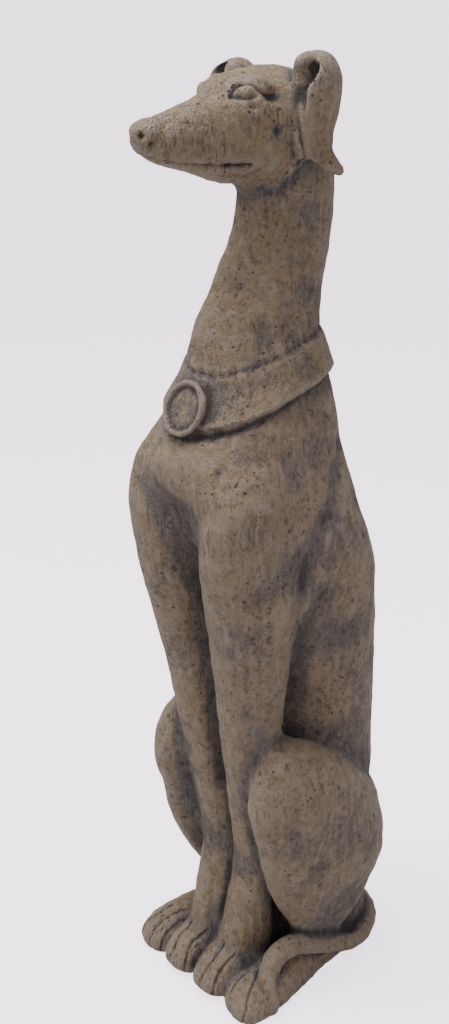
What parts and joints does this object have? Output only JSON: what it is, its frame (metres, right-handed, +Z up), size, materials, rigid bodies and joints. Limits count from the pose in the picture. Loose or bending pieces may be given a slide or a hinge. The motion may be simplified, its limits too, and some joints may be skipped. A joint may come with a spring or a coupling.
{
  "type": "animal statue",
  "caption": "Sitting greyhound statue in cast stone: upright narrow body, long neck with collar and ring, folded ears, tail laid round the left hind foot.",
  "frame": {"origin": "middle of the underside, on the plane that the statue stands on", "axes": "+Z up, the hound faces -Y, its left side is +X"},
  "size_m": [0.1799, 0.2357, 0.759],
  "materials": {
    "cast_stone": "matte, weathered brown with ochre on the worn high places and dark grey in the hollows"
  },
  "bodies": {
    "root": {"greyhound": "cast_stone"}
  },
  "joints": []
}
